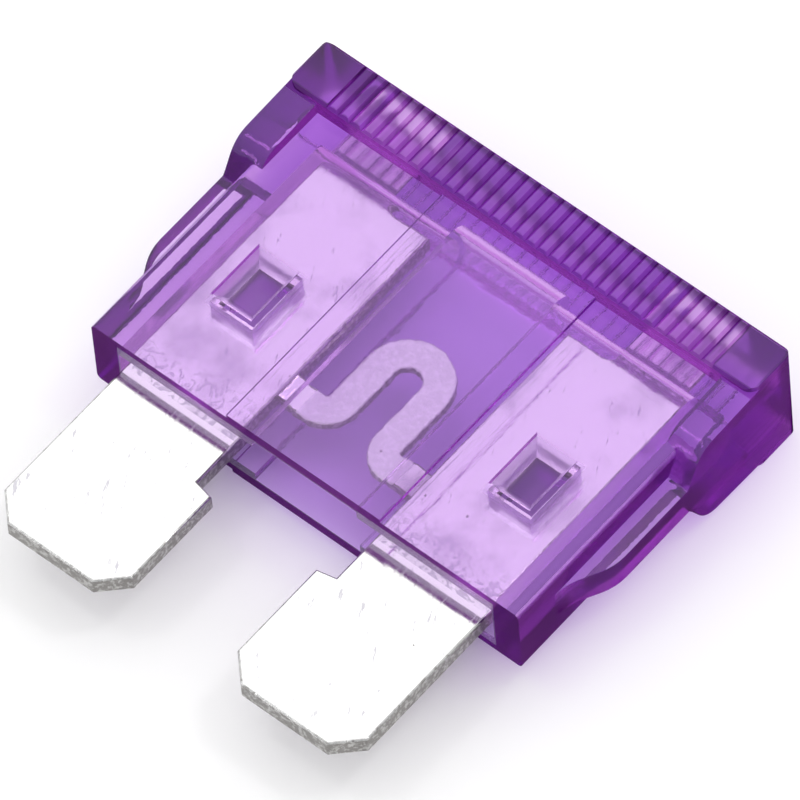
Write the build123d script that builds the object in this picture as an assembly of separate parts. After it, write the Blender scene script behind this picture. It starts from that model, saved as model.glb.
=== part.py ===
from build123d import *
import os

# The fuse lies on its back. X runs from the left blade to the right one, Y from the blade tips to the grip
# head, and Z from the back to the front. The origin is the middle of the footprint, on the resting surface.
# The pieces are first built about the housing's open end (Y = 0) and the metal's mid-plane (Z = 0).

# Overall sizes, in millimetres
FUSE_WIDTH = 19.1
HOUSING_LENGTH = 12.5
BLADE_REACH = 6.7
HEAD_THICKNESS = 4.5
OVERALL_LENGTH = HOUSING_LENGTH + BLADE_REACH

# Block between the wings, and its raised middle panel
BLOCK_WIDTH = 17.5
BLOCK_THICKNESS = 3.0
BLOCK_EDGE_ROUND = 0.2
PANEL_WIDTH = 6.3
PANEL_RISE = 0.15

# Grip head
HEAD_LENGTH = 2.0
HEAD_CORNER_ROUND = 0.35
HEAD_SIDE_ROUND = 0.1
HEAD_FOOT_ROUND = 0.45
HEAD_BEVEL = 0.12
RIB_COUNT = 33
RIB_PITCH = 0.48
RIB_HEIGHT = 0.13

# Side wings: thin beside the block, thick at the shoulder under the head
WING_THICKNESS = 1.2
WING_ROOT = 8.3
WING_RISE_START = 1.7
WING_RISE_END = 4.2
SHOULDER_THICKNESS = 3.9
SHOULDER_TAPER = 0.08
SHOULDER_RISE_START = 7.25
SHOULDER_RISE_END = 8.65
SHOULDER_SLOPE = (0.6, 0.8)
NECK_START_Y = 10.7
HEAD_RISE_END = 12.0
HEAD_INSET = 0.02

# Hollows of the housing, with round far ends
CHAMBER_WIDTH = 4.3
CHAMBER_HEIGHT = 2.3
CHAMBER_DEPTH = 10.4
CHAMBER_END_ROUND = 0.9
POCKET_HEIGHT = 1.6
POCKET_DEPTH = 10.0
POCKET_END_ROUND = 0.6
POCKET_EDGE = 7.65
TEST_SLOT_HEIGHT = 1.1
TEST_SLOT_DEPTH = 0.7
TAB_CLEARANCE = 0.03

# Staking pits, one over each blade on both faces, and the plastic pressed against the blade below them
STAKE_X = 5.7
STAKE_Y = 4.4
PIT_MOUTH = (1.7, 2.4)
PIT_FLOOR = (1.0, 1.45)
PIT_DEPTH = 0.55
POST_SIZE = (1.45, 2.0)
COLLAR_SIZE = (1.75, 2.45)

# Metal stamping
METAL_THICKNESS = 0.65
BLADE_OUTER = 7.45
BLADE_INNER = 2.15
NECK_INNER = 2.85
NECK_START = -2.0
NECK_SLANT = 0.15
TIP_CHAMFER = 0.9
PLATE_TOP = 9.45
PLATE_NOTCH_ROUND = 0.45
TAB_INNER = 4.7
TAB_OUTER = 7.3
TAB_END = 12.1

# Link, an arch with a foot on each blade
LINK_WIDTH = 1.08
LINK_THICKNESS = 0.35
ARCH_RADIUS = 1.04
ARCH_CENTRE = (-0.1, 5.06)
FOOT_RADIUS = 0.62
LEFT_FOOT_Y = 2.55
RIGHT_FOOT_Y = 2.3
FOOT_OVERLAP = 0.3

HALF_WIDTH = FUSE_WIDTH / 2
HALF_HEAD = HEAD_THICKNESS / 2
HALF_BLOCK = BLOCK_THICKNESS / 2
HEAD_START = HOUSING_LENGTH - HEAD_LENGTH
MARGIN = 1.0


def box(low, high):
    """A box between two opposite corners."""
    size = [b - a for a, b in zip(low, high)]
    middle = [(a + b) / 2 for a, b in zip(low, high)]
    return Pos(*middle) * Box(*size)


def along_y(section, start, end):
    """A section drawn in X and Z, carried along Y."""
    return Pos(0, end, 0) * extrude(Plane.XZ * section, end - start)


def block():
    """The middle of the housing, with the raised panel on both faces."""
    section = RectangleRounded(BLOCK_WIDTH, BLOCK_THICKNESS, BLOCK_EDGE_ROUND)
    panel = Rectangle(PANEL_WIDTH, BLOCK_THICKNESS + 2 * PANEL_RISE)
    return along_y(section, 0, HEAD_START + MARGIN) + along_y(panel, 0, HEAD_START + MARGIN)


def ribbed_edge(height):
    """Rib crests along the front of the head, from left to right, as one chain of arcs."""
    left = -RIB_COUNT * RIB_PITCH / 2
    valley = height - RIB_HEIGHT
    arcs = []
    for rib in range(RIB_COUNT):
        start = left + rib * RIB_PITCH
        crest = (start + RIB_PITCH / 2, height)
        arcs.append(ThreePointArc((start, valley), crest, (start + RIB_PITCH, valley)))
    return arcs


def head_section():
    """The head seen along Y: smooth ends, and ribs front and back."""
    outline = RectangleRounded(FUSE_WIDTH, HEAD_THICKNESS, HEAD_SIDE_ROUND)
    half = RIB_COUNT * RIB_PITCH / 2
    edge = ribbed_edge(HALF_HEAD)
    cap = Polyline((half, HALF_HEAD - RIB_HEIGHT), (half, HEAD_THICKNESS), (-half, HEAD_THICKNESS),
                   (-half, HALF_HEAD - RIB_HEIGHT))
    groove = make_face(Wire(edge + list(cap.edges())))
    return outline - groove - mirror(groove, about=Plane.XZ)


def head_plan():
    """The head seen from the front, with its round corners."""
    left, right = -HALF_WIDTH, HALF_WIDTH
    plan = box((left, HEAD_START, -HALF_HEAD), (right, HOUSING_LENGTH, HALF_HEAD))
    upright = plan.edges().filter_by(Axis.Z).sort_by(Axis.Y)
    plan = fillet(upright[2:], HEAD_CORNER_ROUND)
    upright = plan.edges().filter_by(Axis.Z).sort_by(Axis.Y)
    return fillet(upright[:2], HEAD_FOOT_ROUND)


def bevel_bar(y, side):
    """A square bar set on edge, which takes the sharp edge off the head at this Y and face."""
    bar = Box(FUSE_WIDTH + MARGIN, HEAD_BEVEL * 2 ** 0.5, HEAD_BEVEL * 2 ** 0.5)
    return Pos(0, y, side * HALF_HEAD) * Rot(45, 0, 0) * bar


def head():
    solid = head_plan() & along_y(head_section(), HEAD_START, HOUSING_LENGTH)
    for side in (-1, 1):
        for y in (HEAD_START, HOUSING_LENGTH):
            solid -= bevel_bar(y, side)
    return solid


def wing_plan():
    """The right wing seen from the front: it swells out from the block in one S-curve."""
    half_block = BLOCK_WIDTH / 2
    swell = Spline((half_block, WING_RISE_START), (HALF_WIDTH, WING_RISE_END), tangents=((0, 1), (0, 1)))
    top = HEAD_START + HEAD_LENGTH / 2
    rest = Polyline((HALF_WIDTH, WING_RISE_END), (HALF_WIDTH, top), (WING_ROOT, top),
                    (WING_ROOT, WING_RISE_START), (half_block, WING_RISE_START))
    return make_face(swell.edges() + rest.edges())


def wing_side():
    """Half of the right wing seen from its end: thin, then the shoulder, then up to the head."""
    thin, thick = WING_THICKNESS / 2, SHOULDER_THICKNESS / 2
    top = HALF_HEAD - HEAD_INSET
    level, rising = (1, 0), (1, 0.05)
    shoulder_end = (NECK_START_Y, thick + SHOULDER_TAPER)
    shoulder = Spline((SHOULDER_RISE_START, thin), (SHOULDER_RISE_END, thick), tangents=(SHOULDER_SLOPE, level))
    neck = Spline(shoulder_end, (HEAD_RISE_END, top), tangents=(rising, rising))
    edges = Polyline((0, 0), (0, thin), (SHOULDER_RISE_START, thin)).edges()
    edges += shoulder.edges()
    edges += Line((SHOULDER_RISE_END, thick), shoulder_end).edges()
    edges += neck.edges()
    edges += Polyline((HEAD_RISE_END, top), (HEAD_RISE_END, 0), (0, 0)).edges()
    return make_face(edges)


def wing():
    """The right wing: its front view and its end view, both carried through."""
    plan = extrude(wing_plan(), HEAD_THICKNESS, both=True)
    side = Pos(WING_ROOT, 0, 0) * extrude(Plane.YZ * wing_side(), HALF_WIDTH)
    return plan & (side + mirror(side, about=Plane.XY))


def staking_pit():
    """The pit pressed into the front face over the right blade, its walls sloping in."""
    mouth = Pos(STAKE_X, STAKE_Y, HALF_BLOCK) * Rectangle(*PIT_MOUTH)
    floor = Pos(STAKE_X, STAKE_Y, HALF_BLOCK - PIT_DEPTH) * Rectangle(*PIT_FLOOR)
    return loft([mouth.face(), floor.face()])


def hollow(left, right, depth, height, end_round):
    """A hollow from the housing's open end, with the front and back of its far end rounded."""
    solid = box((left, -MARGIN, -height / 2), (right, depth, height / 2))
    far_edges = solid.edges().filter_by(Axis.X).sort_by(Axis.Y)[2:]
    return fillet(far_edges, end_round)


def blade_pocket():
    """The hollow round the right blade, and the narrow slot that its test tab fills."""
    pocket = hollow(0, POCKET_EDGE, POCKET_DEPTH, POCKET_HEIGHT, POCKET_END_ROUND)
    gap = METAL_THICKNESS / 2 + TAB_CLEARANCE
    slot = box((TAB_INNER - TAB_CLEARANCE, 0, -gap), (TAB_OUTER + TAB_CLEARANCE, HOUSING_LENGTH, gap))
    mouth = box((TAB_INNER, HOUSING_LENGTH - TEST_SLOT_DEPTH, -TEST_SLOT_HEIGHT / 2),
                (TAB_OUTER, HOUSING_LENGTH + MARGIN, TEST_SLOT_HEIGHT / 2))
    return pocket + slot + mouth


def staked_plastic():
    """The plastic pressed through the right blade's hole, with a collar against each side of the blade."""
    post = Box(*POST_SIZE, POCKET_HEIGHT)
    collars = Box(*COLLAR_SIZE, POCKET_HEIGHT) - Box(*COLLAR_SIZE, METAL_THICKNESS)
    return Pos(STAKE_X, STAKE_Y, 0) * (post + collars)


def housing():
    right = wing()
    solid = block() + head() + right + mirror(right, about=Plane.YZ)
    half = CHAMBER_WIDTH / 2
    chamber = hollow(-half, half, CHAMBER_DEPTH, CHAMBER_HEIGHT, CHAMBER_END_ROUND)
    pocket = blade_pocket() - staked_plastic()
    solid -= chamber + pocket + mirror(pocket, about=Plane.YZ)
    pit = staking_pit()
    for front in (pit, mirror(pit, about=Plane.YZ)):
        solid -= front
        solid -= mirror(front, about=Plane.XY)
    return solid


def right_blade():
    """The right blade seen from the front, with its neck, its plate and its test tab."""
    corner = PLATE_NOTCH_ROUND
    outline = Polyline(
        (BLADE_INNER + TIP_CHAMFER, -BLADE_REACH), (BLADE_OUTER - TIP_CHAMFER, -BLADE_REACH),
        (BLADE_OUTER, TIP_CHAMFER - BLADE_REACH), (BLADE_OUTER, PLATE_TOP + corner),
        (TAB_OUTER, PLATE_TOP + corner), (TAB_OUTER, TAB_END), (TAB_INNER, TAB_END),
        (TAB_INNER, PLATE_TOP), (NECK_INNER, PLATE_TOP), (NECK_INNER, NECK_START + NECK_SLANT),
        (BLADE_INNER, NECK_START), (BLADE_INNER, TIP_CHAMFER - BLADE_REACH), close=True)
    face = make_face(outline)
    notch = face.vertices().sort_by_distance((TAB_INNER, PLATE_TOP))[0]
    face = fillet(notch, corner)
    hole = Pos(STAKE_X, STAKE_Y) * Rectangle(*POST_SIZE)
    return face - hole


def link_path():
    """The middle line of the link, from the left blade to the right one."""
    x, y = ARCH_CENTRE
    left, right = x - ARCH_RADIUS, x + ARCH_RADIUS
    start = (-NECK_INNER - FOOT_OVERLAP, LEFT_FOOT_Y)
    end = (NECK_INNER + FOOT_OVERLAP, RIGHT_FOOT_Y)
    left_heel = (left - FOOT_RADIUS, LEFT_FOOT_Y)
    right_heel = (right + FOOT_RADIUS, RIGHT_FOOT_Y)
    left_leg = (left, LEFT_FOOT_Y + FOOT_RADIUS)
    right_leg = (right, RIGHT_FOOT_Y + FOOT_RADIUS)
    return Wire([
        Line(start, left_heel).edge(),
        TangentArc(left_heel, left_leg, tangent=(1, 0)).edge(),
        Line(left_leg, (left, y)).edge(),
        ThreePointArc((left, y), (x, y + ARCH_RADIUS), (right, y)).edge(),
        Line((right, y), right_leg).edge(),
        TangentArc(right_leg, right_heel, tangent=(0, -1)).edge(),
        Line(right_heel, end).edge(),
    ])


def link():
    path = link_path()
    section = Plane(origin=path @ 0, z_dir=path % 0) * Rectangle(LINK_THICKNESS, LINK_WIDTH)
    return sweep(section, path=path)


def fuse_element():
    blade = extrude(right_blade(), METAL_THICKNESS / 2, both=True)
    return blade + mirror(blade, about=Plane.YZ) + link()


def main():
    os.makedirs("parts", exist_ok=True)
    to_footprint = Pos(0, BLADE_REACH - OVERALL_LENGTH / 2, HALF_HEAD)
    for name, build in (("housing", housing), ("fuse_element", fuse_element)):
        solid = to_footprint * build()
        solid.label = name
        export_step(solid, f"parts/{name}.step")
        print(name, "volume", round(solid.volume, 2), "mm3, solids", len(solid.solids()))


main()
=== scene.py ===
# %% [markdown]
# # A clear violet blade fuse
#
# The object is a plug-in blade fuse lying on its back: a clear violet plastic housing with a ribbed grip
# head, and one metal stamping inside it, with two blades that stick out and a thin arched link between
# them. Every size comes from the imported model, which is loaded first as a fixed frame. This script gives
# it its looks: the camera, the light, the rounded edges and the two finishes.

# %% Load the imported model
import math

import bmesh
import bpy
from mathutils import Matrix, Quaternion, Vector


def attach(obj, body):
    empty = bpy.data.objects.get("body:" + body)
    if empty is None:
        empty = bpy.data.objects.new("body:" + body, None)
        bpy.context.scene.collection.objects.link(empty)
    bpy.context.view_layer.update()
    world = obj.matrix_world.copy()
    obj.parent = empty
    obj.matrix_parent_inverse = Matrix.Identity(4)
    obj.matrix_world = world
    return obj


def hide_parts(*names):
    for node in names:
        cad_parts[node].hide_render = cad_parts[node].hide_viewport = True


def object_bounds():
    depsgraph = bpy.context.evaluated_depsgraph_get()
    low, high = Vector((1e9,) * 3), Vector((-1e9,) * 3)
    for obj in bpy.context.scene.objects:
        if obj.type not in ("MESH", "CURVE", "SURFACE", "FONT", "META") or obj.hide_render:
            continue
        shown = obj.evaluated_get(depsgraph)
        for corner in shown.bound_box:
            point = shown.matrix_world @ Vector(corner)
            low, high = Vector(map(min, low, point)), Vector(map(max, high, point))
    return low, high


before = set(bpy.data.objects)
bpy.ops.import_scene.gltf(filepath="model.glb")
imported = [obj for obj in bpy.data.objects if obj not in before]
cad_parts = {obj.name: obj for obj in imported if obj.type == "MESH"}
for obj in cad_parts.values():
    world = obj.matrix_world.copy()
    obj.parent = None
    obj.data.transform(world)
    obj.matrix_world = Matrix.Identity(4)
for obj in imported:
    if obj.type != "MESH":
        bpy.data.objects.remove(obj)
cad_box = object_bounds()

MM = 0.001
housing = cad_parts["housing"]
fuse_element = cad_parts["fuse_element"]
middle_z = (cad_box[0].z + cad_box[1].z) / 2
print("pieces:", sorted(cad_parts), "size in mm:", [round(v / MM, 2) for v in cad_box[1] - cad_box[0]])

# %% [markdown]
# ## Camera
#
# The photograph looks down on the fuse from its front right corner, from far away, so parallel edges stay
# nearly parallel. A long lens far from the object gives that. The position is written as two angles and a
# distance from the point at the middle of the picture, which is easier to change than three coordinates.

# %% Camera
AIM = Vector((0.252, 1.418, 2.739)) * MM
AZIMUTH, ELEVATION, ROLL = 44.91, 57.095, -5.686  # degrees
DISTANCE = 0.53  # metres
LENS = 761  # millimetres
NEAREST, FARTHEST = 0.01, 10  # metres


def towards_camera(azimuth, elevation):
    """The unit vector from the object to the camera."""
    turn, rise = math.radians(azimuth), math.radians(elevation)
    return Vector((math.sin(turn) * math.cos(rise), -math.cos(turn) * math.cos(rise), math.sin(rise)))


back = towards_camera(AZIMUTH, ELEVATION)
camera = bpy.data.objects.new("camera", bpy.data.cameras.new("camera"))
bpy.context.scene.collection.objects.link(camera)
camera.data.lens = LENS
camera.data.clip_start, camera.data.clip_end = NEAREST, FARTHEST
camera.location = AIM + back * DISTANCE
camera.rotation_mode = "QUATERNION"
camera.rotation_quaternion = Quaternion(back, math.radians(ROLL)) @ (-back).to_track_quat("-Z", "Y")
bpy.context.scene.camera = camera
bpy.context.scene.view_settings.view_transform = "Standard"
print("camera at", [round(v, 4) for v in camera.location])

# %% [markdown]
# ## Helpers for materials
#
# A material is a small graph of nodes. Written out, each node takes several lines, so the first helper
# adds one in a single call: properties by keyword, and inputs by name, where an input is either a number
# or the output of another node. The others add the few kinds of node that come back all the time.

# %% Node helpers


def add_node(tree, kind, inputs=None, **properties):
    """Adds a node, sets its properties, and sets or links its inputs."""
    node = tree.nodes.new(kind)
    for name, value in properties.items():
        setattr(node, name, value)
    for name, value in (inputs or {}).items():
        if isinstance(value, bpy.types.NodeSocket):
            tree.links.new(value, node.inputs[name])
        else:
            node.inputs[name].default_value = value
    return node


def math_node(tree, operation, first, second=0.0):
    """A Math node on two values, returned as its output."""
    return add_node(tree, "ShaderNodeMath", {0: first, 1: second}, operation=operation).outputs[0]


def noise(tree, where, per_mm, **settings):
    """A soft random pattern with its inputs by name, returned as a value around 0.5."""
    return add_node(tree, "ShaderNodeTexNoise", {"Vector": where, "Scale": per_mm, **settings}).outputs[0]


def blend_colour(tree, factor, first, second):
    """The first colour where the factor is 0, and the second where it is 1."""
    node = add_node(tree, "ShaderNodeMix", {"Factor": factor}, data_type="RGBA")
    for socket, colour in ((node.inputs[6], first), (node.inputs[7], second)):
        if isinstance(colour, bpy.types.NodeSocket):
            tree.links.new(colour, socket)
        else:
            socket.default_value = (*colour, 1)
    return node.outputs[2]


def new_material(name):
    """An empty node material, and its tree."""
    material = bpy.data.materials.new(name)
    material.use_nodes = True
    material.node_tree.nodes.clear()
    return material, material.node_tree


# %% [markdown]
# ## Helpers for masks
#
# A mask is a number between 0 and 1 that says where on the surface something is. With these helpers a
# mask reads as a sentence, such as both(rolled, under(height, limit)), which is easier to check and to
# change than a painted picture, and it stays sharp from every distance.

# %% Mask helpers
HALF_MASK = 0.5


def both(first, second):
    """A mask that is 1 where both masks are 1."""
    return math_node(first.node.id_data, "MULTIPLY", first, second)


def either(first, second):
    """A mask that is 1 where one of the masks is 1."""
    return math_node(first.node.id_data, "MAXIMUM", first, second)


def neither(first, second):
    """A mask that is 1 where both masks are 0."""
    return under(either(first, second), HALF_MASK)


def share(mask, amount):
    """A mask that reaches the amount instead of 1."""
    return math_node(mask.node.id_data, "MULTIPLY", mask, amount)


def under(value, limit):
    """A mask that is 1 where the value is below the limit."""
    return math_node(value.node.id_data, "LESS_THAN", value, limit)


def over(value, limit):
    """A mask that is 1 where the value is above the limit."""
    return math_node(value.node.id_data, "GREATER_THAN", value, limit)


def unsigned(value):
    """The value without its sign."""
    return math_node(value.node.id_data, "ABSOLUTE", value)


def spread(value, low, high):
    """A mask turned into a value that runs from low to high."""
    return add_node(value.node.id_data, "ShaderNodeMapRange",
                    {"Value": value, "To Min": low, "To Max": high}).outputs[0]


def smooth_step(value, low, high):
    """A mask that is 0 below low, 1 above high, and rises smoothly between them."""
    return add_node(value.node.id_data, "ShaderNodeMapRange",
                    {"Value": value, "From Min": low, "From Max": high},
                    interpolation_type="SMOOTHSTEP").outputs[0]


def position_in_mm(tree):
    """The place on the object, in millimetres."""
    place = add_node(tree, "ShaderNodeTexCoord").outputs["Object"]
    return add_node(tree, "ShaderNodeVectorMath", {0: place, "Scale": 1 / MM}, operation="SCALE").outputs[0]


def split(tree, vector):
    """The X, Y and Z of a vector, to be picked by name."""
    return add_node(tree, "ShaderNodeSeparateXYZ", {"Vector": vector}).outputs


# %% [markdown]
# ## Floor
#
# The photograph is lit softly from above against pure white. The floor is a white sheet that takes the
# object's shadow and fills the picture. Paper has no gloss worth showing, so a plain diffuse shader is
# enough. The sheet lies a hair below the fuse, so that no two surfaces share a plane.

# %% Floor
FLOOR_SIZE = 2.0
FLOOR_WHITE = 0.98
FLOOR_GAP = 0.02 * MM

floor_material, tree = new_material("studio_floor")
matt = add_node(tree, "ShaderNodeBsdfDiffuse", {"Color": (FLOOR_WHITE, FLOOR_WHITE, FLOOR_WHITE, 1)})
add_node(tree, "ShaderNodeOutputMaterial", {"Surface": matt.outputs[0]})

half = FLOOR_SIZE / 2
floor_mesh = bpy.data.meshes.new("floor")
corners = [(-half, -half, 0), (half, -half, 0), (half, half, 0), (-half, half, 0)]
floor_mesh.from_pydata(corners, [], [(0, 1, 2, 3)])
floor = bpy.data.objects.new("floor", floor_mesh)
floor.location.z = cad_box[0].z - FLOOR_GAP
floor.data.materials.append(floor_material)
bpy.context.scene.collection.objects.link(floor)
print("floor", FLOOR_SIZE, "m wide")

# %% [markdown]
# ## Sky
#
# A photographer would hang a wide white screen over such a small shiny thing. Here the world is that
# screen. It is brightest high up behind the fuse, where the flat metal faces mirror it towards the
# camera, and it fades towards the other side, which keeps the side faces of the plastic dark. The cosine
# of the angle to the bright side, from one dot product, gives that smooth change without any picture.

# %% Sky
SKY_BRIGHT_SIDE = (-0.38, 0.385, 0.84)
SKY_MEAN = 0.70
SKY_SWING = 0.55

world = bpy.data.worlds.new("studio")
world.use_nodes = True
bpy.context.scene.world = world
tree = world.node_tree
tree.nodes.clear()
direction = add_node(tree, "ShaderNodeTexCoord").outputs["Generated"]
facing = add_node(tree, "ShaderNodeVectorMath", {0: direction, 1: SKY_BRIGHT_SIDE}, operation="DOT_PRODUCT")
swing = math_node(tree, "MULTIPLY", facing.outputs["Value"], SKY_SWING)
brightness = math_node(tree, "ADD", swing, SKY_MEAN)
sky = add_node(tree, "ShaderNodeBackground", {"Color": (1, 1, 1, 1), "Strength": brightness})
add_node(tree, "ShaderNodeOutputWorld", {"Surface": sky.outputs[0]})
print("sky strength from", round(SKY_MEAN - SKY_SWING, 2), "to", round(SKY_MEAN + SKY_SWING, 2))

# %% [markdown]
# ## Softboxes
#
# Three small softboxes add the thin light lines: one along the shoulders, one along the ribs, and one
# along the ledge at the front of the head. Each stands where its edge or face mirrors it into the camera,
# so a fraction of a watt is enough, and the sky still gives nearly all the light.

# %% Softboxes
SOFTBOX_SIZE = 0.06
SOFTBOXES = {  # the place in metres, and the watts
    "shoulder_light": ((-0.153, -0.05, 0.366), 0.07),
    "rib_light": ((0.12, 0.154, 0.348), 0.12),
    "ledge_light": ((-0.153, -0.335, 0.153), 0.06),
}

for name, (place, watts) in SOFTBOXES.items():
    softbox = bpy.data.objects.new(name, bpy.data.lights.new(name, "AREA"))
    softbox.data.size = SOFTBOX_SIZE
    softbox.data.energy = watts
    softbox.location = place
    softbox.rotation_mode = "QUATERNION"
    softbox.rotation_quaternion = (-softbox.location).to_track_quat("-Z", "Y")
    bpy.context.scene.collection.objects.link(softbox)
    print(name, SOFTBOX_SIZE, "m,", watts, "W")

# %% [markdown]
# ## Wear that both finishes share: fine scratches
#
# Plastic and plated metal both show fine scratches and small specks. Each effect is one node group with
# its own inputs, built once and placed in both materials with different values. Positions are in
# millimetres, so that a group's sizes can be read as real ones. A scratch is a soft random pattern,
# pulled long in one direction and cut off so that only its peaks stay.

# %% Fine scratches
SCRATCH_NOISE = {"Detail": 4.0, "Roughness": 0.7}
SCRATCH_CUT = (0.5, 0.75)


def new_group(name, inputs, outputs):
    """An empty shader node group with named number sockets, and its input and output nodes."""
    group = bpy.data.node_groups.new(name, "ShaderNodeTree")
    for label, value in inputs.items():
        socket = group.interface.new_socket(label, in_out="INPUT", socket_type="NodeSocketFloat")
        socket.default_value = value
    for label in outputs:
        group.interface.new_socket(label, in_out="OUTPUT", socket_type="NodeSocketFloat")
    return group, group.nodes.new("NodeGroupInput"), group.nodes.new("NodeGroupOutput")


scratches, group_in, group_out = new_group(
    "fine_scratches", {"Stretch": 12.0, "Across": 6.0, "Turn": 0.0}, ["Mask"])
turn = add_node(scratches, "ShaderNodeCombineXYZ", {"Z": group_in.outputs["Turn"]})
lengthwise = math_node(scratches, "DIVIDE", 1.0, group_in.outputs["Stretch"])
squeeze = add_node(scratches, "ShaderNodeCombineXYZ", {"X": 1.0, "Y": lengthwise, "Z": 1.0})
turned = add_node(scratches, "ShaderNodeMapping",
                  {"Vector": position_in_mm(scratches), "Rotation": turn.outputs[0]})
stretched = add_node(scratches, "ShaderNodeVectorMath", {0: turned.outputs[0], 1: squeeze.outputs[0]},
                     operation="MULTIPLY")
lines = noise(scratches, stretched.outputs[0], group_in.outputs["Across"], **SCRATCH_NOISE)
scratches.links.new(smooth_step(lines, *SCRATCH_CUT), group_out.inputs["Mask"])
print("group:", scratches.name)

# %% [markdown]
# ## Wear that both finishes share: specks
#
# Dust in plastic and pinholes in plating are both scattered dots. Voronoi cells give one dot each, at
# random places, and the cell's random colour decides which of them are kept.

# %% Specks
specks, group_in, group_out = new_group("specks", {"Per mm": 2.0, "Size": 0.12, "Amount": 0.2}, ["Mask"])
cells = add_node(specks, "ShaderNodeTexVoronoi",
                 {"Vector": position_in_mm(specks), "Scale": group_in.outputs["Per mm"]})
dot = under(cells.outputs["Distance"], group_in.outputs["Size"])
chance = add_node(specks, "ShaderNodeSeparateColor", {"Color": cells.outputs["Color"]}).outputs[0]
chosen = under(chance, group_in.outputs["Amount"])
specks.links.new(both(dot, chosen), group_out.inputs["Mask"])
print("group:", specks.name)

# %% [markdown]
# ## Clear violet plastic: where it is polished, and where not
#
# The housing is moulded polycarbonate. A mould is polished where the plastic should be clear, and left
# rougher elsewhere, so the clarity changes from place to place: the broad faces are glossy, the side
# faces and the ribs are a little frosted, and so are the walls of the inner hollows, which a rougher
# steel core shapes. The zones are found by the place on the housing and by how far a face is tipped, so
# nothing has to be painted by hand.

# %% Zones of the housing
# Millimetres from the middle of the part. A tilt is the Z of a face's normal: 1 lies flat, 0 stands upright.
CORE_HALF = (7.7, 1.2)
RIB_START = 7.5
RIB_LEVEL = 1.9
GROOVE_LEVEL = 2.22
PIT_CENTRE = (5.7, 1.5)
PIT_HALF = (1.0, 1.35)
PIT_TOP = 1.42
SIDE_WALL_TILT = 0.6
FROST = {"core": 0.12, "front ribs": 0.30, "back ribs": 0.45, "side walls": 0.24, "pits": 0.45}

plastic, tree = new_material("violet_clear_plastic")
place = split(tree, position_in_mm(tree))
sideways = unsigned(place["X"])
level = math_node(tree, "SUBTRACT", place["Z"], middle_z / MM)
height = unsigned(level)
lying = unsigned(split(tree, add_node(tree, "ShaderNodeNewGeometry").outputs["True Normal"])["Z"])
on_ribs = over(place["Y"], RIB_START)
off_pit_x = unsigned(math_node(tree, "SUBTRACT", sideways, PIT_CENTRE[0]))
off_pit_y = unsigned(math_node(tree, "SUBTRACT", place["Y"], PIT_CENTRE[1]))
zones = {
    "core": both(under(sideways, CORE_HALF[0]), under(height, CORE_HALF[1])),
    "front ribs": both(on_ribs, over(level, RIB_LEVEL)),
    "back ribs": both(on_ribs, under(level, -RIB_LEVEL)),
    "side walls": under(lying, SIDE_WALL_TILT),
    "pits": both(both(under(off_pit_x, PIT_HALF[0]), under(off_pit_y, PIT_HALF[1])),
                 under(height, PIT_TOP)),
}
print("frosted zones:", FROST)

# %% [markdown]
# ## Clear violet plastic: scratches, dust and relief
#
# Even the clear faces are not perfect. Hairlines and dust make them rougher in places. The relief is for
# the Bump node: slow waves, as a moulding has when it shrinks, and the dust grains on top of them.

# %% Plastic surface
POLISHED, SCUFFED = 0.03, 0.22
HAIRLINE_SHARE = 0.2
DUST_RISE = 0.4
PLASTIC_RELIEF = 0.03 * MM


def place_group(tree, group, **values):
    """A node group placed in a material with its own values, returned as its Mask output."""
    node = add_node(tree, "ShaderNodeGroup", node_tree=group)
    for label, value in values.items():
        node.inputs[label.replace("_", " ")].default_value = value
    return node.outputs["Mask"]


hairlines = place_group(tree, scratches, Stretch=18.0, Across=3.0, Turn=0.4)
dust = place_group(tree, specks, Per_mm=1.6, Size=0.05, Amount=0.25)
roughness = spread(either(share(hairlines, HAIRLINE_SHARE), dust), POLISHED, SCUFFED)
for zone, mask in zones.items():
    roughness = either(roughness, share(mask, FROST[zone]))

waves = noise(tree, position_in_mm(tree), per_mm=0.9, Detail=4.0)
relief = math_node(tree, "ADD", waves, share(dust, DUST_RISE))
plastic_bump = add_node(tree, "ShaderNodeBump",
                        {"Height": relief, "Strength": 1.0, "Distance": PLASTIC_RELIEF}).outputs[0]
print("plastic relief at most", round(PLASTIC_RELIEF / MM, 3), "mm")

# %% [markdown]
# ## Clear violet plastic: painted shade on the side faces and in the grooves
#
# On the real fuse the outer side faces and the bottoms of the rib grooves look much darker than the broad
# faces, because light that enters there runs a long way through the plastic. A path tracer lets some of
# it out too early, so that shade is painted on. A coat whose refractive index is 1 does not reflect. It
# only tints what passes, and more so at a flat angle, so here it is painted shade on those faces alone,
# switched on by a mask.

# %% Painted shade mask
RIB_PAINTED_SHADE = 0.4

# Painted shade: the coat tint darkens the outer side faces, the ribs a little, and the rib grooves.
outer_walls = both(zones["side walls"], neither(zones["pits"], zones["core"]))
grooves = both(zones["front ribs"], under(level, GROOVE_LEVEL))
painted_shade = either(outer_walls, either(share(zones["front ribs"], RIB_PAINTED_SHADE), grooves))
print("skin on the outer side faces, the ribs", RIB_PAINTED_SHADE, "and their grooves")

# %% [markdown]
# ## Clear violet plastic: the shader
#
# Violet plastic gets deeper in colour the more of it the light crosses. A volume that absorbs light does
# that, so the surface itself stays pale. The few hundredths that are not transmission are a faint haze.
# Lamps cannot shine through refracting plastic in a path tracer, so for the rays that look for a lamp,
# and for those that leave a matt surface such as the floor, the plastic is a tinted, see-through film.

# %% Plastic shader
PLASTIC_IOR = 1.47
PLASTIC_CLARITY = 0.945
PLASTIC_TINT = (0.89, 0.82, 0.96, 1)
# The coat tint below paints shade on the outer side faces and in the rib grooves.
PAINTED_SHADE_TINT = (0.74, 0.47, 0.78, 1)
REFLECTION_TINT = (0.70, 0.25, 0.90, 1)
FILM_COLOUR = (0.84, 0.77, 0.93, 1)
ABSORB_COLOUR = (0.79, 0.44, 0.90, 1)
ABSORB_PER_METRE = 500

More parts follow.
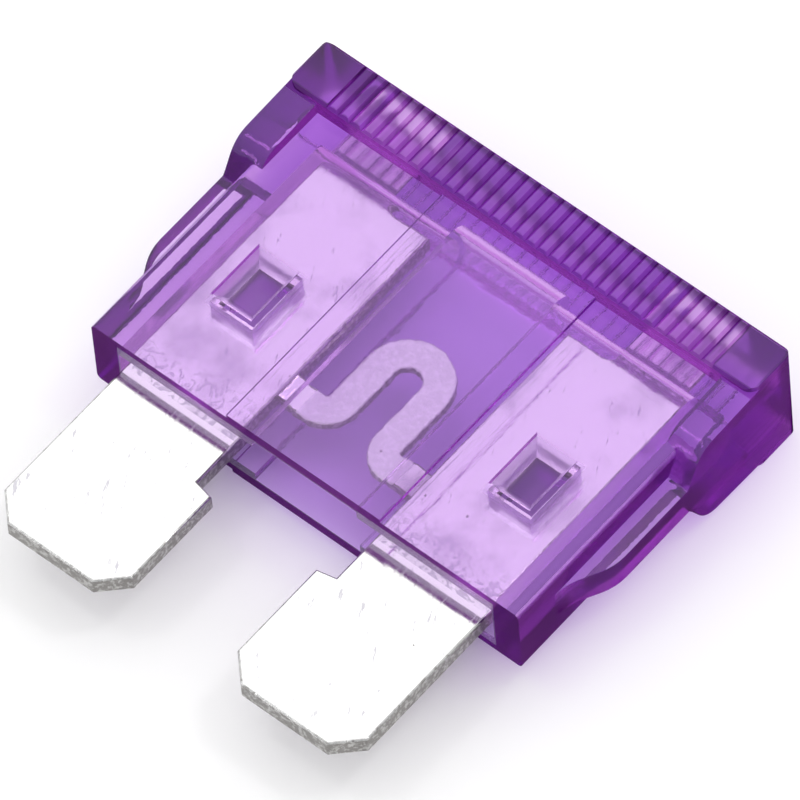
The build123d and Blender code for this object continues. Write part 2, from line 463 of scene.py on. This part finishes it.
clear = add_node(tree, "ShaderNodeBsdfPrincipled", {
    "Base Color": PLASTIC_TINT, "Roughness": roughness, "IOR": PLASTIC_IOR,
    "Transmission Weight": PLASTIC_CLARITY, "Specular Tint": REFLECTION_TINT, "Normal": plastic_bump,
    "Coat Weight": painted_shade, "Coat IOR": 1.0, "Coat Tint": PAINTED_SHADE_TINT})
film = add_node(tree, "ShaderNodeBsdfTransparent", {"Color": FILM_COLOUR})
path = add_node(tree, "ShaderNodeLightPath").outputs
lamp_ray = either(path["Is Shadow Ray"], path["Is Diffuse Ray"])
surface = add_node(tree, "ShaderNodeMixShader", {0: lamp_ray, 1: clear.outputs[0], 2: film.outputs[0]})
depth = add_node(tree, "ShaderNodeVolumeAbsorption", {"Color": ABSORB_COLOUR, "Density": ABSORB_PER_METRE})
add_node(tree, "ShaderNodeOutputMaterial", {"Surface": surface.outputs[0], "Volume": depth.outputs[0]})
housing.data.materials.clear()
housing.data.materials.append(plastic)
print(plastic.name, "has", len(tree.nodes), "nodes")

# %% [markdown]
# ## The stamping: which edges are rounded
#
# The blades and the link are punched from one zinc strip. The punch drags the metal down as it enters,
# which rolls the upper edge over, and it leaves a crisp lower edge. The edges are picked by a rule
# instead of by number: they lie between one flat side and the cut faces, and not at the holes that the
# plastic is pressed through, whose edges nobody sees.

# %% Edges of the stamping
FLAT_FROM = 0.9
STAKE = Vector((5.7, 1.5, 0)) * MM
STAKE_REACH = 1.3 * MM
ROUND_PROFILE = 0.5


def is_flat(face, side):
    """Whether a face lies flat on the upper (1) or the lower (-1) side."""
    return face.normal.z * side > FLAT_FROM


def at_stake(edge):
    """Whether an edge belongs to one of the holes that the plastic is pressed through."""
    centre = (edge.verts[0].co + edge.verts[1].co) / 2
    centre.x, centre.z = abs(centre.x), 0
    return (centre - STAKE).length < STAKE_REACH


def outline_edges(shape, side):
    """The outer edges between one flat side and the cut faces."""
    edges = [edge for edge in shape.edges
             if len(edge.link_faces) == 2 and edge.is_convex and not at_stake(edge)]
    return [edge for edge in edges if sum(is_flat(face, side) for face in edge.link_faces) == 1]


def bevel(shape, edges, width, segments):
    """Rounds edges by a width in metres, in so many segments."""
    bmesh.ops.bevel(shape, geom=edges, offset=width, offset_type="OFFSET", segments=segments,
                    profile=ROUND_PROFILE, affect="EDGES", clamp_overlap=True)


# %% [markdown]
# ## The stamping: the new mesh
#
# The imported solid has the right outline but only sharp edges, so this piece starts as a copy of its mesh,
# and bevels the two sets of edges by different widths. Its flat faces stand a few thousandths of a
# millimetre proud, and the staking holes in it are as much narrower, so that where plastic is pressed
# onto the metal there is no film of air between them.

# %% Stamped element
WELD = 0.001 * MM
MERGE_ANGLE = math.radians(0.5)
ROLLED_EDGE, ROLLED_SEGMENTS = 0.15 * MM, 4
CRISP_EDGE, CRISP_SEGMENTS = 0.025 * MM, 2
PROUD = 0.006 * MM

shape = bmesh.new()
shape.from_mesh(fuse_element.data)
bmesh.ops.remove_doubles(shape, verts=shape.verts, dist=WELD)
bmesh.ops.dissolve_limit(shape, angle_limit=MERGE_ANGLE, verts=shape.verts, edges=shape.edges)
half_metal = max(abs(vert.co.z - middle_z) for vert in shape.verts)
bevel(shape, outline_edges(shape, 1), ROLLED_EDGE, ROLLED_SEGMENTS)
bevel(shape, outline_edges(shape, -1), CRISP_EDGE, CRISP_SEGMENTS)
for vert in shape.verts:
    rise = vert.co.z - middle_z
    if abs(rise) > half_metal - WELD:
        vert.co.z += math.copysign(PROUD, rise)
    across, along = abs(vert.co.x) - STAKE.x, vert.co.y - STAKE.y
    if max(abs(across), abs(along)) < STAKE_REACH:
        vert.co.x -= math.copysign(PROUD, across * vert.co.x)
        vert.co.y -= math.copysign(PROUD, along)
for face in shape.faces:
    face.smooth = True

element_mesh = bpy.data.meshes.new("stamped_element")
shape.to_mesh(element_mesh)
shape.free()
element = bpy.data.objects.new("stamped_element", element_mesh)
bpy.context.scene.collection.objects.link(element)
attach(element, "root")
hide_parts("fuse_element")
print("stamping:", len(element_mesh.polygons), "faces, metal", round(2 * half_metal / MM, 3), "mm thick")

# %% [markdown]
# ## Plated zinc: the parts of the stamping
#
# The strip has a bright plating on its flat faces, and the punch leaves other surfaces at the edges. How
# far a face is tipped tells them apart: sheared faces stand upright, the rolled edge leans, and its rim
# is where it starts to leave the flat. The link is milled thinner than the blades, and it is found by its
# distance from the middle. What lies behind the housing's mouth is called inside.

# %% Parts of the stamping
# Millimetres from the middle of the part. A tilt is the Z of a face's normal: 1 lies flat, 0 stands upright.
SHEARED_TILT = 0.3
RIM_TILT = 0.95
FLAT_TILT = 0.995
LINK_HALF = 2.1
MOUTH_Y = -2.9
TIP_Y = -8.2

metal, tree = new_material("plated_zinc")
where = position_in_mm(tree)
place = split(tree, where)
tilt = split(tree, add_node(tree, "ShaderNodeNewGeometry").outputs["True Normal"])["Z"]
sheared = under(unsigned(tilt), SHEARED_TILT)
rolled = both(over(tilt, SHEARED_TILT), under(tilt, FLAT_TILT))
# Where the rolled edge leaves the flat, a dark line is painted on as its shadow.
painted_rim_shadow = both(rolled, over(tilt, RIM_TILT))
tips = both(rolled, under(place["Y"], TIP_Y))
from_middle = unsigned(place["X"])
on_link = under(from_middle, LINK_HALF)
inside = over(place["Y"], MOUTH_Y)
print("link within", LINK_HALF, "mm of the middle, tips from", TIP_Y, "mm")

# %% [markdown]
# ## Plated zinc: wear and painted shade
#
# Rolling leaves fine lengthwise streaks. Handling leaves marks that cross them, short nicks and pinholes.
# Inside the housing the plating is darker in clouds, partly tarnish and partly painted shade for a patchy
# reflection, and scuffed near the mouth and along the inner edges, where the strip was pushed in. The
# rolled edge gets dark patches, painted shade of dents that its shape doesn't have. Each is a mask, made
# by cutting one of the noises or scratches at two levels.

# %% Wear and painted shade of the plating
NICK_CUT = (0.45, 0.8)
TARNISH_AND_SHADE_CUT = (0.45, 0.68)
MOUTH_BAND = (-0.9, -2.6)
MOUTH_CUT = (0.47, 0.60)
INNER_BAND = (3.9, 3.0)
INNER_CUT = (0.05, 0.4)
DENT_SHADE_CUT = (0.5, 0.62)
GRAIN_CUT = (0.48, 0.60)

streaks = place_group(tree, scratches, Stretch=25.0, Across=9.0, Turn=0.0)
cross_marks = place_group(tree, scratches, Stretch=6.0, Across=1.5, Turn=0.9)
nicks = smooth_step(place_group(tree, scratches, Stretch=5.0, Across=3.5, Turn=-0.5), *NICK_CUT)
pinholes = place_group(tree, specks, Per_mm=1.3, Size=0.06, Amount=0.3)
clouds = noise(tree, where, per_mm=0.35, Detail=5.0)
grain = noise(tree, where, per_mm=6.0, Detail=4.0, Roughness=0.7)
wrinkles = noise(tree, where, per_mm=2.6, Detail=4.0, Distortion=1.2)

mouth_scuffs = both(both(smooth_step(place["Y"], *MOUTH_BAND), inside), smooth_step(wrinkles, *MOUTH_CUT))
inner_scuffs = both(smooth_step(from_middle, *INNER_BAND), smooth_step(streaks, *INNER_CUT))
scuffs = either(either(mouth_scuffs, both(inside, inner_scuffs)), nicks)
# Darker clouds inside the housing: partly tarnish, partly painted shade for a patchy reflection.
tarnish_and_painted_shade = both(inside, smooth_step(clouds, *TARNISH_AND_SHADE_CUT))
# Painted shade: dark patches on the rolled edge, for dents that the shape doesn't have.
painted_dent_shade = both(rolled, smooth_step(wrinkles, *DENT_SHADE_CUT))
rough_places = either(either(on_link, sheared), tips)
pale_grain = both(rough_places, smooth_step(grain, *GRAIN_CUT))
# Of these, the clouds are partly painted shade, and the dents are painted shade.
print("wear: streaks, cross marks, nicks, pinholes, scuffs, tarnish, dents and grain")

# %% [markdown]
# ## Plated zinc: colour
#
# The colour is built like coats of paint. It starts with the bright plating and its darker clouds, partly
# tarnish and partly painted shade, and each layer goes over the ones before it, as far as its mask says.
# The rolled edge is greyer than the flats, with painted shade for dents and a painted shadow line along
# its rim, the bare zinc of the link is whitish, and the sheared faces are dark with a pale grain.

# %% Colour of the metal
BRIGHT_TONE = (0.93, 0.93, 0.92)
TARNISH_AND_SHADE_TONE = (0.62, 0.60, 0.65)
SCUFF_TONE = (0.50, 0.48, 0.55)
LINK_TONE = (0.70, 0.71, 0.70)
ROLLED_TONE = (0.58, 0.58, 0.58)
SHEARED_TONE = (0.27, 0.26, 0.25)
PINHOLE_TONE = (0.35, 0.34, 0.34)
SCUFF_SHARE = 0.75
DENT_SHADE_SHARE = 0.7
GRAIN_SHARE = 0.4

# The darker clouds are partly tarnish and partly painted shade.
tone = blend_colour(tree, tarnish_and_painted_shade, BRIGHT_TONE, TARNISH_AND_SHADE_TONE)
layers = [
    (share(scuffs, SCUFF_SHARE), SCUFF_TONE),
    (rolled, ROLLED_TONE),
    # Painted shade for dents on the rolled edge, and a painted shadow line along its rim.
    (share(painted_dent_shade, DENT_SHADE_SHARE), SHEARED_TONE),
    (painted_rim_shadow, SHEARED_TONE),
    (on_link, LINK_TONE),
    (sheared, SHEARED_TONE),
    (share(pale_grain, GRAIN_SHARE), BRIGHT_TONE),
    (pinholes, PINHOLE_TONE),
]
for mask, layer_tone in layers:
    tone = blend_colour(tree, mask, tone, layer_tone)
print("metal colour:", 1 + len(layers), "layers")

# %% [markdown]
# ## Plated zinc: gloss and relief
#
# The flat faces are nearly a mirror, dulled a little along the streaks. The sheared faces and the bare
# link are much duller. The Bump node makes the streaks just felt, and the grain of the sheared faces, of
# the link and of the rolled tips quite plain.

# %% Metal shader
MIRROR, STREAKED = 0.10, 0.26
CROSS_SHARE = 0.6
SHEARED_ROUGH = 0.4
LINK_ROUGH = 0.5
STREAK_RISE = 0.05
METAL_RELIEF = 0.04 * MM

gloss = spread(either(streaks, share(cross_marks, CROSS_SHARE)), MIRROR, STREAKED)
dull = either(share(sheared, SHEARED_ROUGH), share(on_link, LINK_ROUGH))
relief = math_node(tree, "ADD", share(streaks, STREAK_RISE), both(rough_places, grain))
metal_bump = add_node(tree, "ShaderNodeBump",
                      {"Height": relief, "Strength": 1.0, "Distance": METAL_RELIEF}).outputs[0]
plating = add_node(tree, "ShaderNodeBsdfPrincipled", {
    "Base Color": tone, "Metallic": 1.0, "Roughness": either(gloss, dull), "Normal": metal_bump})
add_node(tree, "ShaderNodeOutputMaterial", {"Surface": plating.outputs[0]})
element.data.materials.append(metal)
print(metal.name, "has", len(tree.nodes), "nodes")

# %% [markdown]
# ## Rounded edges
#
# Nothing that is moulded has a perfectly sharp edge, and a bright line of light along each edge is what
# makes a small part look real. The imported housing's mesh is left alone, and modifiers do the work: flat
# areas are merged into single faces, sharp edges are bevelled, and the shading normals are weighted by
# face area so that the flat faces stay flat.

# %% Edge modifiers
HOUSING_EDGE, HOUSING_SEGMENTS = 0.07 * MM, 2
SHARP_FROM = math.radians(40)
FACE_AREA_WEIGHT = 100


def keep_flats_flat(piece):
    """Weights the shading normals by face area."""
    weigh = piece.modifiers.new("flat_normals", "WEIGHTED_NORMAL")
    weigh.weight = FACE_AREA_WEIGHT


weld = housing.modifiers.new("weld", "WELD")
weld.merge_threshold = WELD
flatten = housing.modifiers.new("merge_flats", "DECIMATE")
flatten.decimate_type = "DISSOLVE"
flatten.angle_limit = MERGE_ANGLE
edge_round = housing.modifiers.new("edge_round", "BEVEL")
edge_round.width = HOUSING_EDGE
edge_round.segments = HOUSING_SEGMENTS
edge_round.limit_method = "ANGLE"
edge_round.angle_limit = SHARP_FROM
for polygon in housing.data.polygons:
    polygon.use_smooth = True
keep_flats_flat(housing)
keep_flats_flat(element)
print("edges rounded on", housing.name)
